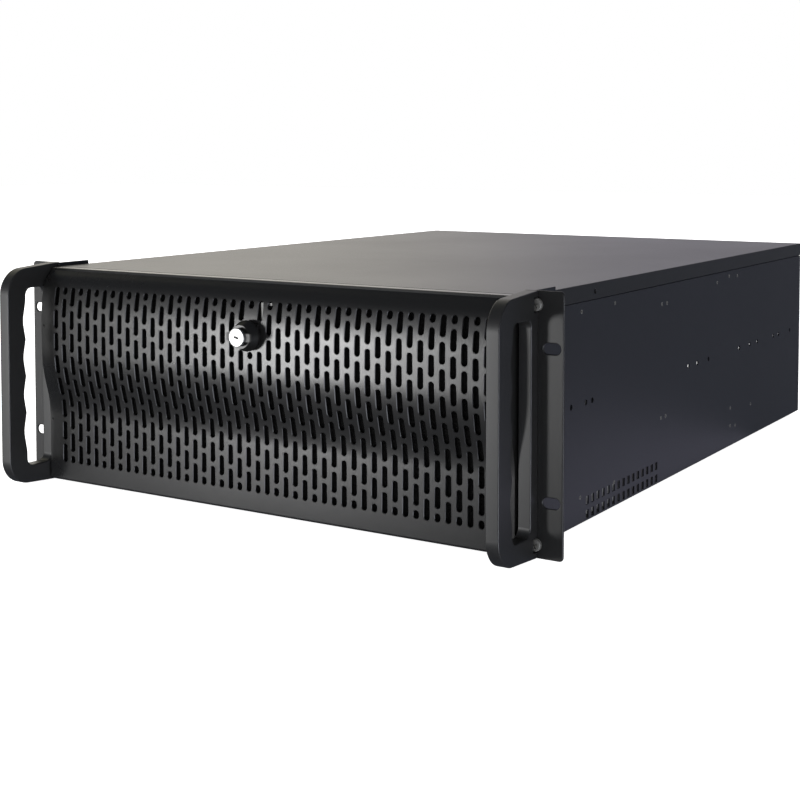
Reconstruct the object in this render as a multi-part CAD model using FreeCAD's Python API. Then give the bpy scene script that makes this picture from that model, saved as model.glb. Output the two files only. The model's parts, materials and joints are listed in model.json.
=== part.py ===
import FreeCAD, Part
import math
import os

# Empty 4U rackmount server case: wave-shaped perforated front door, ring handles and a slide-off top cover.
# Millimetres. X runs to the right seen from the front, Y runs backwards, Z runs up.
# Origin: the centre of the four rack slots, in the plane of the ears' front faces.
# Heights in the source count from the ears' bottom edge, and export() moves each piece to the origin.

Vector = FreeCAD.Vector

# ---------------------------------------------------------------- rack, ears and body
rack_width = 482.6
rack_height = 177.0
rack_slot_inset = 8.75
rack_slot_rise = 101.6
rack_slot_length = 12.0
rack_slot_width = 7.2
ear_thickness = 2.0
ear_corner = 3.0
ear_reach = 26.3
rack_clearance = 3.5
body_depth = 603.0
sheet = 1.2
slip = 0.2

# ---------------------------------------------------------------- wave-shaped front door
door_gap = 0.7
door_rise = 0.5
door_lower_depth = 9.3
door_bulge_depth = 17.9
door_step_rise = 49.2
door_crown_drop = 41.0
wave_angle = 15.0
wave_lower_radius = 70.0
wave_upper_radius = 106.0
crown_radius = 141.0
crown_angle = 11.0
brow_radius = 40.0
brow_angle = 11.0
bend_facets = 1
slot_columns = 47
slots_side = 16.2
slot_row_pitch = 18.2
slot_width = 4.4
slot_length = 14.8
slot_shortest = 4.6
slots_foot = 14.0
slots_head = 14.3
hinge_rise = 3.5
hinge_depth = 4.0
hinge_pin_radius = 1.5
hinge_fit = 0.05
hinge_lug_width = 5.0
hinge_lug_nose = 2.6
hinge_lug_gap = 1.0

# ---------------------------------------------------------------- dust filter behind the door
foam_gap = 0.3
foam_thickness = 4.0
foam_margin = 7.5
foam_lock_gap = 1.5
frame_gap = 0.3
frame_back = 1.2
frame_rail = 5.0
frame_rib = 3.0
frame_rib_inset = 7.7
frame_rib_count = 4

# ---------------------------------------------------------------- door lock
lock_drop = 39.2
lock_keepout = 12.3
collar_radius = 12.0
collar_nose_radius = 8.3
collar_length = 13.6
collar_sides = 24
barrel_width = 16.0
barrel_play = 0.1
barrel_end = 0.6
plug_radius = 4.6
plug_fit = 0.05
plug_face_radius = 6.8
plug_face_length = 2.0
wing_span = 21.4
wing_height = 6.2
wing_length = 2.0
wing_gap = 0.2
clip_width = 21.0
clip_thickness = 1.0
clip_gap = 1.5
tail_width = 5.0
cam_gap = 1.2
cam_thickness = 2.0
cam_width = 12.0
cam_reach = 26.0
cam_corner = 3.0
cam_bolt_radius = 5.0
cam_bolt_length = 2.5
keeper_margin = 4.0

# ---------------------------------------------------------------- handles
handle_tuck = 2.6
handle_width = 10.2
handle_depth = 53.6
handle_taper = 4.0
handle_corner = 15.0
handle_bar = 20.2
handle_root = 9.5
window_margin = 17.0
window_corner = 6.0
grip_count = 4
grip_pitch = 29.4
grip_depth = 3.2
grip_length = 24.0

# ---------------------------------------------------------------- ears' angles and their screws
angle_thickness = 2.0
angle_length = 41.0
angle_leg = 11.0
angle_margin = 0.7

# ---------------------------------------------------------------- top cover
cover_flange = 12.0
cover_seam = 0.4
cover_lip = 10.0
thumbscrew_radius = 5.5
thumbscrew_length = 6.0
thumbscrew_count = 3
thumbscrew_side = 25.0

# ---------------------------------------------------------------- side vents
vent_first = 94.5
vent_pitch = 9.23
vent_count = 15
vent_length = 5.0
vent_height = 6.2
vent_row_pitch = 10.0
vent_rows = 2
vent_rise = 1.4

# ---------------------------------------------------------------- front panel and drive bays
bay_width = 148.0
bay_side = 5.3
bay_count = 3
bay_gap = 1.0
bay_head_room = 11.3
slim_bay_rise = 6.0
slim_bay_width = 101.6
slim_bay_height = 22.0
bay_web = 1.5
bay_cover_gap = 0.3
bay_cover_tab = 12.0
cage_wall = 1.0
cage_side_gap = 0.4
cage_head_room = 1.2
cage_depth = 150.0
cage_foot = 8.0

# ---------------------------------------------------------------- front fan bracket and grille
fan_side = 38.8
fan_size = 120.0
fan_depth = 25.0
fan_bore = 57.5
fan_play = 0.5
fan_slot_width = 8.0
fan_slot_pitch = 13.0
fan_slot_count = 8

# ---------------------------------------------------------------- buttons, lamps and ports
control_side = 31.1
power_drop = 30.3
reset_drop = 18.0
lens_drop = 16.0
lens_pitch = 8.0
lens_count = 2
lens_width = 5.0
lens_tall = 2.5
port_height = 38.0
port_pitch = 14.0
port_count = 2
port_width = 13.1
port_tall = 5.6
port_wall = 0.4
port_depth = 10.0
port_tongue = 1.8
power_width = 12.0
reset_width = 7.0
button_tall = 7.0
button_play = 0.1
button_proud = 1.0
button_length = 6.0
button_flange = 1.0
bracket_width = 32.0
bracket_depth = 9.0
bracket_margin = 10.0

# ---------------------------------------------------------------- rear panel
psu_side = 11.8
psu_width = 82.0
psu_rise = 11.0
psu_head_room = 16.6
io_psu_gap = 12.6
io_card_gap = 15.43
io_height = 44.45
io_rise = 9.0
rear_vent_rise = 92.0
rear_vent_slot = 4.2
rear_vent_pitch = 9.0
rear_vent_head_room = 15.6
rear_vent_count = 10
card_side = 18.8
card_pitch = 20.32
card_count = 7
card_window_width = 12.5
card_window_rise = 12.0
card_window_height = 100.0
card_cover_width = 18.4
card_cover_margin = 6.0
card_cover_sheet = 0.9
card_ledge_depth = 12.0
card_ledge_side = 3.0

# ---------------------------------------------------------------- inside
brace_position = 330.0
brace_width = 22.0
brace_drop = 12.0
board_side = 46.8
board_columns = 3
board_column_pitch = 122.0
board_rows = 3
board_row_pitch = 123.0
board_back = 33.0
standoff_radius = 3.2
standoff_rise = 6.5
psu_rail_front = 155.0
psu_rail_width = 20.0
psu_rail_rise = 18.0

# ---------------------------------------------------------------- worked out from the sizes above
half_rack = rack_width / 2
half_body = half_rack - ear_reach
half_inner = half_body - sheet
neck_outer = half_inner - slip
neck_inner = neck_outer - sheet
body_bottom = rack_clearance
body_top = rack_height - rack_clearance
floor_top = body_bottom + sheet
cover_under = body_top - sheet
seam_top = body_top - cover_flange
seam_bottom = seam_top - cover_seam
neck_bottom = seam_bottom - sheet
panel_front = ear_thickness
panel_back = panel_front + sheet
rear_inner = body_depth - sheet
handle_inner = half_body - handle_tuck
handle_outer = handle_inner + handle_width
half_door = handle_inner - door_gap
door_bottom = body_bottom - door_rise
door_top = body_top
hinge_height = body_bottom + hinge_rise
lock_height = door_top - lock_drop
slim_bay_bottom = floor_top + slim_bay_rise
bay_bottom = slim_bay_bottom + slim_bay_height + bay_web
bay_top = cover_under - bay_head_room
bay_pitch = (bay_top - bay_bottom + bay_gap) / bay_count
bay_height = bay_pitch - bay_gap
bay_centre = half_inner - bay_side - bay_width / 2
cage_half = bay_width / 2 + cage_side_gap + cage_wall
fan_centre = fan_side + fan_size / 2 - half_inner
fan_height = (body_bottom + body_top) / 2
control_centre = bay_centre - cage_half - control_side
power_height = lock_height - power_drop
reset_height = power_height - reset_drop
lens_height = reset_height - lens_drop
psu_centre = half_inner - psu_side - psu_width / 2
card_first = card_side - half_inner
card_last = card_first + (card_count - 1) * card_pitch
io_left = card_last + card_window_width / 2 + io_card_gap
io_right = psu_centre - psu_width / 2 - io_psu_gap
io_centre = (io_left + io_right) / 2
card_ledge_height = floor_top + card_window_rise + card_window_height + card_cover_margin
beyond = 10.0


def box(x0, x1, y0, y1, z0, z1):
    return Part.makeBox(x1 - x0, y1 - y0, z1 - z0, Vector(x0, y0, z0))


def box_about(x, half_x, y0, y1, z, half_z):
    return box(x - half_x, x + half_x, y0, y1, z - half_z, z + half_z)


def rod_x(radius, y, z, x0, x1):
    return Part.makeCylinder(radius, x1 - x0, Vector(x0, y, z), Vector(1, 0, 0))


def rod_y(radius, x, z, y0, y1):
    return Part.makeCylinder(radius, y1 - y0, Vector(x, y0, z), Vector(0, 1, 0))


def flat(corners):
    return Part.Face(Part.makePolygon(corners + corners[:1]))


def polygon(sides, radius, x, y, z):
    """The corners of a regular polygon that stands across the Y axis."""
    turns = [2 * math.pi * i / sides for i in range(sides)]
    return [Vector(x + radius * math.cos(a), y, z + radius * math.sin(a)) for a in turns]


def prism_y(sides, radius, x, z, y0, y1):
    return flat(polygon(sides, radius, x, y0, z)).extrude(Vector(0, y1 - y0, 0))


def tapered_y(sides, radius0, radius1, z, y0, y1):
    """A tapered many-sided prism about the lock's axis."""
    rim = polygon(sides, radius0, 0, y0, z)
    tip = polygon(sides, radius1, 0, y1, z)
    flanks = [flat([rim[i - 1], rim[i], tip[i], tip[i - 1]]) for i in range(sides)]
    return Part.makeSolid(Part.makeShell([flat(rim), flat(tip)] + flanks))


def joined(shapes):
    whole = shapes[0].fuse(shapes[1:]) if len(shapes) > 1 else shapes[0]
    return whole.removeSplitter()


def mirrored(shape):
    return shape.mirror(Vector(0, 0, 0), Vector(1, 0, 0))


def both_sides(shape):
    return [shape, mirrored(shape)]


def spread(count, pitch):
    """Offsets of count places about their middle."""
    return [(i - (count - 1) / 2) * pitch for i in range(count)]


def export(node, shape):
    placed = shape.translated(Vector(0, 0, -rack_height / 2))
    placed.exportStep("parts/" + node + ".step")


def export_pair(name, right):
    """A right-hand piece and its mirror image on the left."""
    export("right_" + name, right)
    export("left_" + name, mirrored(right))


# ---------------------------------------------------------------- body shell
def chassis_tray():
    """The folded floor and side walls. Each wall steps inwards under the cover's flange and ends in a lip.
    The right wall has two rows of vents low down."""
    wall = box(half_inner, half_body, panel_front, body_depth, body_bottom, seam_bottom)
    step = box(neck_inner, half_body, panel_front, body_depth, neck_bottom, seam_bottom)
    neck = box(neck_inner, neck_outer, panel_front, body_depth, neck_bottom, cover_under)
    lip_front, lip_back = panel_back + slip, rear_inner - slip
    lip = box(neck_inner - cover_lip, neck_outer, lip_front, lip_back, cover_under - sheet, cover_under)
    right = joined([wall, step, neck, lip])
    floor = box(-half_body, half_body, panel_front, body_depth, body_bottom, floor_top)
    cuts = []
    for row in range(vent_rows):
        z = body_bottom + vent_rise + row * vent_row_pitch
        for i in range(vent_count):
            y = vent_first + i * vent_pitch - vent_length / 2
            cuts.append(box(half_inner - 1, half_body + 1, y, y + vent_length, z, z + vent_height))
    return joined([floor, right.cut(cuts), mirrored(right)])


def panel_blank(y0, y1):
    """A panel that closes one end of the tray and follows the step in its walls."""
    lower = box(-half_inner, half_inner, y0, y1, floor_top, neck_bottom)
    upper = box(-neck_inner, neck_inner, y0, y1, neck_bottom, cover_under)
    return joined([lower, upper])


def top_cover():
    """A flat top with flanges down both sides and over the rear panel."""
    rear_outer = body_depth + slip + sheet
    top = box(-half_body, half_body, panel_front, rear_outer, cover_under, body_top)
    side = box(half_inner, half_body, panel_front, rear_outer, seam_top, body_top)
    rear = box(-half_body, half_body, body_depth + slip, rear_outer, seam_top, body_top)
    return joined([top, rear] + both_sides(side))


def cover_thumbscrews():
    """The heads of the screws that hold the cover's rear flange, seated on it."""
    seat = body_depth + slip + sheet
    height = body_top - cover_flange / 2
    pitch = 2 * (half_body - thumbscrew_side) / (thumbscrew_count - 1)
    end = seat + thumbscrew_length
    places = spread(thumbscrew_count, pitch)
    return Part.makeCompound([prism_y(12, thumbscrew_radius, x, height, seat, end) for x in places])


# ---------------------------------------------------------------- ears, angles and handles
def rack_ear():
    """A flat plate with two horizontal slots for the rack screws."""
    plate = box(handle_inner, half_rack, 0, ear_thickness, 0, rack_height)
    outer = [e for e in plate.Edges if e.BoundBox.XMin > half_rack - 0.01]
    corners = [e for e in outer if e.BoundBox.YLength > ear_thickness / 2]
    plate = plate.makeFillet(ear_corner, corners)
    radius = rack_slot_width / 2
    reach = (rack_slot_length - rack_slot_width) / 2
    cuts = []
    for dz in spread(2, rack_slot_rise):
        z = rack_height / 2 + dz
        x = half_rack - rack_slot_inset
        cuts.append(box(x - reach, x + reach, -1, ear_thickness + 1, z - radius, z + radius))
        cuts += [rod_y(radius, x + side * reach, z, -1, ear_thickness + 1) for side in (-1, 1)]
    return plate.cut(cuts)


def ear_angle():
    """The angle that carries an ear: a short leg behind it and a long one along the body's side."""
    z0, z1 = angle_margin, rack_height - angle_margin
    back = panel_front + angle_thickness
    leg = box(half_body, half_body + angle_leg, panel_front, back, z0, z1)
    flank = box(half_body, half_body + angle_thickness, panel_front, panel_front + angle_length, z0, z1)
    return joined([leg, flank])


def handle():
    """A closed ring handle, tapered towards its front, with finger grips inside the front bar."""
    drop = handle_depth * math.tan(math.radians(handle_taper))
    corners = [
        Vector(handle_inner, 0, 0),
        Vector(handle_inner, -handle_depth, drop),
        Vector(handle_inner, -handle_depth, rack_height - drop),
        Vector(handle_inner, 0, rack_height),
    ]
    ring = flat(corners).extrude(Vector(handle_width, 0, 0))
    front = [e for e in ring.Edges if e.BoundBox.YMax < 0.01 - handle_depth]
    ring = ring.makeFillet(handle_corner, [e for e in front if e.BoundBox.XLength > handle_width / 2])
    bar_back = handle_bar - handle_depth
    x0, x1 = handle_inner - 1, handle_outer + 1
    window = box(x0, x1, bar_back, -handle_root, window_margin, rack_height - window_margin)
    window = window.makeFillet(window_corner, [e for e in window.Edges if e.BoundBox.XLength > handle_width])
    grip_radius = ((grip_length / 2) ** 2 + grip_depth**2) / (2 * grip_depth)
    grips = []
    for dz in spread(grip_count, grip_pitch):
        z = rack_height / 2 + dz
        reach = box(x0, x1, bar_back - grip_depth - 1, bar_back + 1, z - grip_length, z + grip_length)
        grips.append(rod_x(grip_radius, bar_back - grip_depth + grip_radius, z, x0, x1).common(reach))
    return ring.cut([window] + grips)


# ---------------------------------------------------------------- front door
class WavePath:
    """Walks the door's outline upwards in the YZ plane. Heading 0 is straight up and a positive turn leans
    forward. A bend is pressed as bend_facets flats."""

    def __init__(self, y, z):
        self.y = y
        self.z = z
        self.heading = 0.0
        self.edges = []

    def straight(self, length):
        start = Vector(0, self.y, self.z)
        self.y -= length * math.sin(self.heading)
        self.z += length * math.cos(self.heading)
        self.edges.append(Part.makeLine(start, Vector(0, self.y, self.z)))

    def bend(self, radius, degrees):
        for _ in range(bend_facets):
            start = Vector(0, self.y, self.z)
            end = self.turned(radius, degrees / bend_facets)
            self.edges.append(Part.makeLine(start, end))
            self.y = end.y
            self.z = end.z
            self.heading += math.radians(degrees / bend_facets)

    def turned(self, radius, degrees):
        after = self.heading + math.radians(degrees)
        side = math.copysign(radius, degrees)
        dy = side * (math.cos(after) - math.cos(self.heading))
        dz = side * (math.sin(after) - math.sin(self.heading))
        return Vector(0, self.y + dy, self.z + dz)


def wave(set_back, half_width, back):
    """The solid between the door's wave, moved back by set_back, and a flat plane at back."""
    slope = math.radians(wave_angle)
    curves = (wave_lower_radius + wave_upper_radius) * (1 - math.cos(slope))
    path = WavePath(set_back - door_lower_depth, door_bottom)
    path.straight(door_step_rise)
    path.bend(wave_lower_radius, wave_angle)
    path.straight((door_bulge_depth - door_lower_depth - curves) / math.sin(slope))
    path.bend(wave_upper_radius, -wave_angle)
    path.straight(door_top - door_crown_drop - path.z)
    path.bend(crown_radius, -crown_angle)
    path.bend(brow_radius, -brow_angle)
    path.straight((door_top - path.z) / math.cos(path.heading))
    foot = Vector(0, set_back - door_lower_depth, door_bottom)
    corners = [Vector(0, path.y, door_top), Vector(0, back, door_top), Vector(0, back, door_bottom), foot]
    closing = [Part.makeLine(a, b) for a, b in zip(corners, corners[1:])]
    face = Part.Face(Part.Wire(path.edges + closing))
    face.translate(Vector(-half_width, 0, 0))
    return face.extrude(Vector(2 * half_width, 0, 0))


def door_slots():
    """Upright slots in staggered columns, trimmed to the pattern's ends and round the lock."""
    front, back = -door_bulge_depth - 1, -foam_thickness
    slots_bottom, slots_top = door_bottom + slots_foot, door_top - slots_head
    slots = []
    for column, x in enumerate(spread(slot_columns, 2 * (half_door - slots_side) / (slot_columns - 1))):
        keep = math.sqrt(max(lock_keepout**2 - x**2, 0))
        centre = slots_bottom + slot_length / 2 - (column % 2) * slot_row_pitch / 2
        while centre - slot_length / 2 < slots_top - slot_shortest:
            low = max(centre - slot_length / 2, slots_bottom)
            high = min(centre + slot_length / 2, slots_top)
            if keep and low < lock_height + keep and high > lock_height - keep:
                above = high - (lock_height + keep)
                below = (lock_height - keep) - low
                low = lock_height + keep if above > below else low
                high = high if above > below else lock_height - keep
            if high - low > slot_shortest:
                slots.append(box(x - slot_width / 2, x + slot_width / 2, front, back, low, high))
            centre += slot_row_pitch
    return slots


def front_door():
    """One folded sheet: the perforated wave, its top and bottom returns and its end flanges."""
    outside = wave(0, half_door, 0)
    hollow = wave(sheet, half_door - sheet, 1)
    hollow = hollow.common(box(-half_body, half_body, -handle_depth, 1, door_bottom + sheet, door_top - sheet))
    door = outside.cut(hollow).cut(door_slots())
    lug_inner = lug_outer_face() - hinge_lug_width - hinge_lug_gap
    end_inner = half_door - sheet
    notch = box(lug_inner, end_inner, sheet - door_lower_depth, 1, door_bottom - 1, door_bottom + sheet + 1)
    pin_hole = rod_x(hinge_pin_radius + hinge_fit, -hinge_depth, hinge_height, end_inner - 1, half_door + 1)
    half_hole = barrel_width / 2 + barrel_play
    barrel_hole = box_about(0, half_hole, -door_bulge_depth - 1, -foam_thickness, lock_height, half_hole)
    return door.cut(both_sides(notch) + both_sides(pin_hole) + [barrel_hole])


def lug_outer_face():
    return half_door - sheet - hinge_lug_gap


def hinge_lug():
    """The lug on the front panel, with the pin that the door's lower corner turns on."""
    x1 = lug_outer_face()
    x0 = x1 - hinge_lug_width
    low, high = hinge_height - hinge_lug_nose, hinge_height + hinge_lug_nose
    arm = box(x0, x1, -hinge_depth - hinge_lug_nose, panel_front, low, high)
    return joined([arm, rod_x(hinge_pin_radius, -hinge_depth, hinge_height, x1, half_door)])


def dust_filter():
    """Foam that follows the wave just behind the sheet, with a hole for the lock."""
    front = sheet + foam_gap
    half = half_door - foam_margin
    foam = wave(front, half, 2 * beyond).cut(wave(front + foam_thickness, half + 1, 2 * beyond + 1))
    foam = foam.common(box(-half, half, -handle_depth, beyond, door_bottom + foam_margin, door_top - foam_margin))
    half_hole = clip_width / 2 + foam_lock_gap
    return foam.cut(box_about(0, half_hole, -handle_depth, beyond, lock_height, half_hole))


def filter_frame():
    """A moulded frame whose rails and ribs press the foam into the wave."""
    front = sheet + foam_gap + foam_thickness + frame_gap
    half = half_door - foam_margin
    z0 = door_bottom + foam_margin
    z1 = door_top - foam_margin
    filler = wave(front, half, -frame_back)
    rails = [box(-half, half, -handle_depth, 0, z, z + frame_rail) for z in (z0, z1 - frame_rail)]
    rib_pitch = 2 * (half - frame_rib_inset) / (frame_rib_count - 1)
    places = [x - frame_rib / 2 for x in spread(frame_rib_count, rib_pitch)]
    ribs = [box(x, x + frame_rib, -handle_depth, 0, z0, z1) for x in places]
    return filler.common(joined(rails + ribs))


# ---------------------------------------------------------------- lock
def lock_body():
    """The tapered collar that stands out of the door, and the square barrel that keeps it from turning."""
    seat = -door_bulge_depth
    nose = seat - collar_length
    collar = tapered_y(collar_sides, collar_radius, collar_nose_radius, lock_height, seat, nose)
    barrel = box_about(0, barrel_width / 2, seat, barrel_end, lock_height, barrel_width / 2)
    return joined([collar, barrel]).cut(rod_y(plug_radius + plug_fit, 0, lock_height, nose - 1, barrel_end + 1))


def lock_clip():
    """The spring clip that holds the barrel from behind. It slides on from below."""
    front = sheet + clip_gap - door_bulge_depth
    back = front + clip_thickness
    half = clip_width / 2
    half_slot = barrel_width / 2 + barrel_play
    slot = box(-half_slot, half_slot, front - 1, back + 1, lock_height - half - 1, lock_height + half_slot)
    return box_about(0, half, front, back, lock_height, half).cut(slot)


def lock_plug():
    """The turning plug: round face, two wings in front of the collar, and a square tail for the cam."""
    nose = -door_bulge_depth - collar_length - wing_gap
    wings_front = nose - wing_length
    face = prism_y(collar_sides, plug_face_radius, 0, lock_height, wings_front - plug_face_length, wings_front)
    wings = box_about(0, wing_span / 2, wings_front, nose, lock_height, wing_height / 2)
    plug = rod_y(plug_radius, 0, lock_height, nose, barrel_end)
    tail = box_about(0, tail_width / 2, barrel_end, cam_back(), lock_height, tail_width / 2)
    return joined([face, wings, plug, tail])


def cam_back():
    return panel_back + cam_gap + cam_thickness


def lock_cam():
    """The lever behind the front panel. It lies level when the door is free to open."""
    y0, y1 = cam_back() - cam_thickness, cam_back()
    arm = box(-cam_width / 2, cam_reach, y0, y1, lock_height - cam_width / 2, lock_height + cam_width / 2)
    corners = [e for e in arm.Edges if e.BoundBox.YLength > cam_thickness / 2]
    arm = arm.makeChamfer(cam_corner, corners)
    return arm.cut(box_about(0, tail_width / 2, y0 - 1, y1 + 1, lock_height, tail_width / 2))


def cam_bolt():
    return prism_y(6, cam_bolt_radius, 0, lock_height, cam_back(), cam_back() + cam_bolt_length)


# ---------------------------------------------------------------- front panel and what it carries
def front_panel():
    """The inner front with its bays, fan grille, keeper opening, buttons, lamps and ports."""
    y0, y1 = panel_front - 1, panel_back + 1
    half_tall = bay_height / 2
    cuts = [box_about(bay_centre, bay_width / 2, y0, y1, z + half_tall, half_tall) for z in bay_heights()]
    half_slim = slim_bay_height / 2
    cuts.append(box_about(bay_centre, slim_bay_width / 2, y0, y1, slim_bay_bottom + half_slim, half_slim))
    for dx in spread(fan_slot_count, fan_slot_pitch):
        half = math.sqrt(fan_bore**2 - (abs(dx) + fan_slot_width / 2) ** 2)
        cuts.append(box_about(fan_centre + dx, fan_slot_width / 2, y0, y1, fan_height, half))
    half_cam = cam_width / 2 + keeper_margin
    cuts.append(box(-half_cam, cam_reach + keeper_margin, y0, y1, lock_height - half_cam, lock_height + half_cam))
    half_tall = button_tall / 2 + button_play
    for width, z in ((power_width, power_height), (reset_width, reset_height)):
        cuts.append(box_about(control_centre, width / 2 + button_play, y0, y1, z, half_tall))
    cuts += [box_about(x, lens_width / 2, y0, y1, lens_height, lens_tall / 2) for x in lens_places()]
    cuts += [box_about(control_centre, port_width / 2, y0, y1, z, port_tall / 2) for z in port_places()]
    return panel_blank(panel_front, panel_back).cut(cuts)


def bay_heights():
    return [bay_bottom + i * bay_pitch for i in range(bay_count)]


def lens_places():
    return [control_centre + dx for dx in spread(lens_count, lens_pitch)]


def port_places():
    return [port_height + dz for dz in spread(port_count, port_pitch)]


def bay_cover(half_width, z0, height):
    """A blank for one bay: a face in the panel's opening and two tabs back along the cage."""
    x0 = bay_centre - half_width + bay_cover_gap
    x1 = bay_centre + half_width - bay_cover_gap
    low, high = z0 + bay_cover_gap, z0 + height - bay_cover_gap
    face = box(x0, x1, panel_front, panel_back, low, high)
    tabs = [box(x, x + sheet, panel_front, panel_back + bay_cover_tab, low, high) for x in (x0, x1 - sheet)]
    return joined([face] + tabs)


def drive_cage():
    """The drive bays' bridge: two walls, a top and inward feet on the floor."""
    y0, y1 = panel_back, panel_back + cage_depth
    roof = bay_top + cage_head_room
    left, right = bay_centre - cage_half, bay_centre + cage_half
    walls = [box(x, x + cage_wall, y0, y1, floor_top, roof) for x in (left, right - cage_wall)]
    feet = [box(x, x + cage_foot, y0, y1, floor_top, floor_top + cage_wall) for x in (left, right - cage_foot)]
    top = box(left, right, y0, y1, roof, roof + cage_wall)
    return joined(walls + feet + [top])


def fan_bracket():
    """The open frame behind the front panel that a fan drops into."""
    half = fan_size / 2 + fan_play
    back = panel_back + fan_depth
    outside = box_about(fan_centre, half + cage_wall, panel_back, back, fan_height, half + cage_wall)
    return outside.cut(box_about(fan_centre, half, panel_back - 1, back + 1, fan_height, half))


def push_button(width, height):
    """A plunger through the panel, with a flange that stops against the panel's back."""
    front, back = panel_front - button_proud, panel_back + button_length
    plunger = box_about(control_centre, width / 2, front, back, height, button_tall / 2)
    half_wide, half_tall = width / 2 + button_flange, button_tall / 2 + button_flange
    flange = box_about(control_centre, half_wide, panel_back, panel_back + button_flange, height, half_tall)
    return joined([plunger, flange])


def lamp_lenses():
    front, back = panel_front - button_proud / 2, panel_back + bracket_depth
    half_wide, half_tall = lens_width / 2, lens_tall / 2
    return Part.makeCompound([box_about(x, half_wide, front, back, lens_height, half_tall) for x in lens_places()])


def front_ports():
    """Two sockets, each a shell with a tongue, standing on the bracket behind the panel."""
    ports = []
    back = panel_back + bracket_depth
    for z in port_places():
        shell = box_about(control_centre, port_width / 2, panel_front, back, z, port_tall / 2)
        half_hollow, half_tall = port_width / 2 - port_wall, port_tall / 2 - port_wall
        hollow = box_about(control_centre, half_hollow, panel_front - 1, panel_front + port_depth, z, half_tall)
        half_tongue = half_hollow - port_wall
        tongue = box_about(control_centre, half_tongue, panel_front + 1, back, z + port_tongue / 2, port_tongue / 2)
        ports.append(joined([shell.cut(hollow), tongue]))
    return Part.makeCompound(ports)


def control_bracket():
    """The bridge behind the panel that holds the switches, lamps and ports."""
    z0 = port_places()[0] - bracket_margin
    z1 = power_height + bracket_margin
    x0, x1 = control_centre - bracket_width / 2, control_centre + bracket_width / 2
    back = panel_back + bracket_depth
    plate = box(x0, x1, back, back + sheet, z0, z1)
    legs = [box(x, x + sheet, panel_back, back + sheet, z0, z1) for x in (x0, x1 - sheet)]
    return joined([plate] + legs)


# ---------------------------------------------------------------- rear panel and what it carries
def card_places():
    return [card_first + i * card_pitch for i in range(card_count)]


def rear_panel():
    """The rear wall: supply opening, board's port opening, vent, card windows and the ledge above them."""
    y0, y1 = rear_inner - 1, body_depth + 1
    half_psu, half_slot = psu_width / 2, rear_vent_slot / 2
    psu_bottom, io_bottom = floor_top + psu_rise, floor_top + io_rise
    cuts = [
        box(psu_centre - half_psu, psu_centre + half_psu, y0, y1, psu_bottom, cover_under - psu_head_room),
        box(io_left, io_right, y0, y1, io_bottom, io_bottom + io_height),
    ]
    vent_bottom, vent_top = floor_top + rear_vent_rise, cover_under - rear_vent_head_room
    half_window = card_window_height / 2
    for dx in spread(rear_vent_count, rear_vent_pitch):
        x = io_centre + dx
        cuts.append(box(x - half_slot, x + half_slot, y0, y1, vent_bottom, vent_top))
    for x in card_places():
        z = floor_top + card_window_rise + half_window
        cuts.append(box_about(x, card_window_width / 2, y0, y1, z, half_window))
    ledge_back = rear_inner - card_cover_sheet - slip
    ledge_front = ledge_back - card_ledge_depth
    x0 = card_first - card_pitch / 2 - card_ledge_side
    x1 = card_last + card_pitch / 2 + card_ledge_side
    ledge = box(x0, x1, ledge_front, ledge_back, card_ledge_height - sheet, card_ledge_height)
    gussets = [
        box(x, x + sheet, ledge_front, rear_inner, card_ledge_height - card_ledge_depth, card_ledge_height)
        for x in (x0, x1 - sheet)
    ]
    return joined([panel_blank(rear_inner, body_depth).cut(cuts), ledge] + gussets)


def card_cover(x):
    """A blank behind one card window, with a tab that lies on the ledge."""
    half = card_cover_width / 2
    back = rear_inner
    front = back - card_cover_sheet
    top = card_ledge_height + card_cover_sheet
    strip = box(x - half, x + half, front, back, floor_top + card_cover_margin, top)
    tab = box(x - half, x + half, front - card_ledge_depth, back, card_ledge_height, top)
    return joined([strip, tab])


# ---------------------------------------------------------------- inside the body
def cross_brace():
    """A channel between the side walls, under their lips."""
    top = cover_under - sheet
    y0, y1 = brace_position, brace_position + brace_width
    bar = box(-neck_inner, neck_inner, y0, y1, top - sheet, top)
    webs = [box(-neck_inner, neck_inner, y, y + sheet, top - brace_drop, top) for y in (y0, y1 - sheet)]
    return joined([bar] + webs)


def board_standoffs():
    """Hexagonal standoffs on the floor for the main board."""
    posts = []
    for column in range(board_columns):
        for i in range(board_rows):
            x = board_side - half_inner + column * board_column_pitch
            centre = Vector(x, rear_inner - board_back - i * board_row_pitch, floor_top)
            post = prism_y(6, standoff_radius, 0, 0, 0, standoff_rise)
            post.rotate(Vector(0, 0, 0), Vector(1, 0, 0), 90)
            post.translate(centre)
            posts.append(post)
    return Part.makeCompound(posts)


def psu_rail():
    """The angle on the floor that the power supply's inner end rests against."""
    x0, x1 = psu_centre - psu_width / 2, psu_centre + psu_width / 2
    y0 = rear_inner - psu_rail_front
    foot = box(x0, x1, y0 - psu_rail_width, y0, floor_top, floor_top + sheet)
    stop = box(x0, x1, y0 - psu_rail_width, y0 - psu_rail_width + sheet, floor_top, floor_top + psu_rail_rise)
    return joined([foot, stop])


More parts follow.
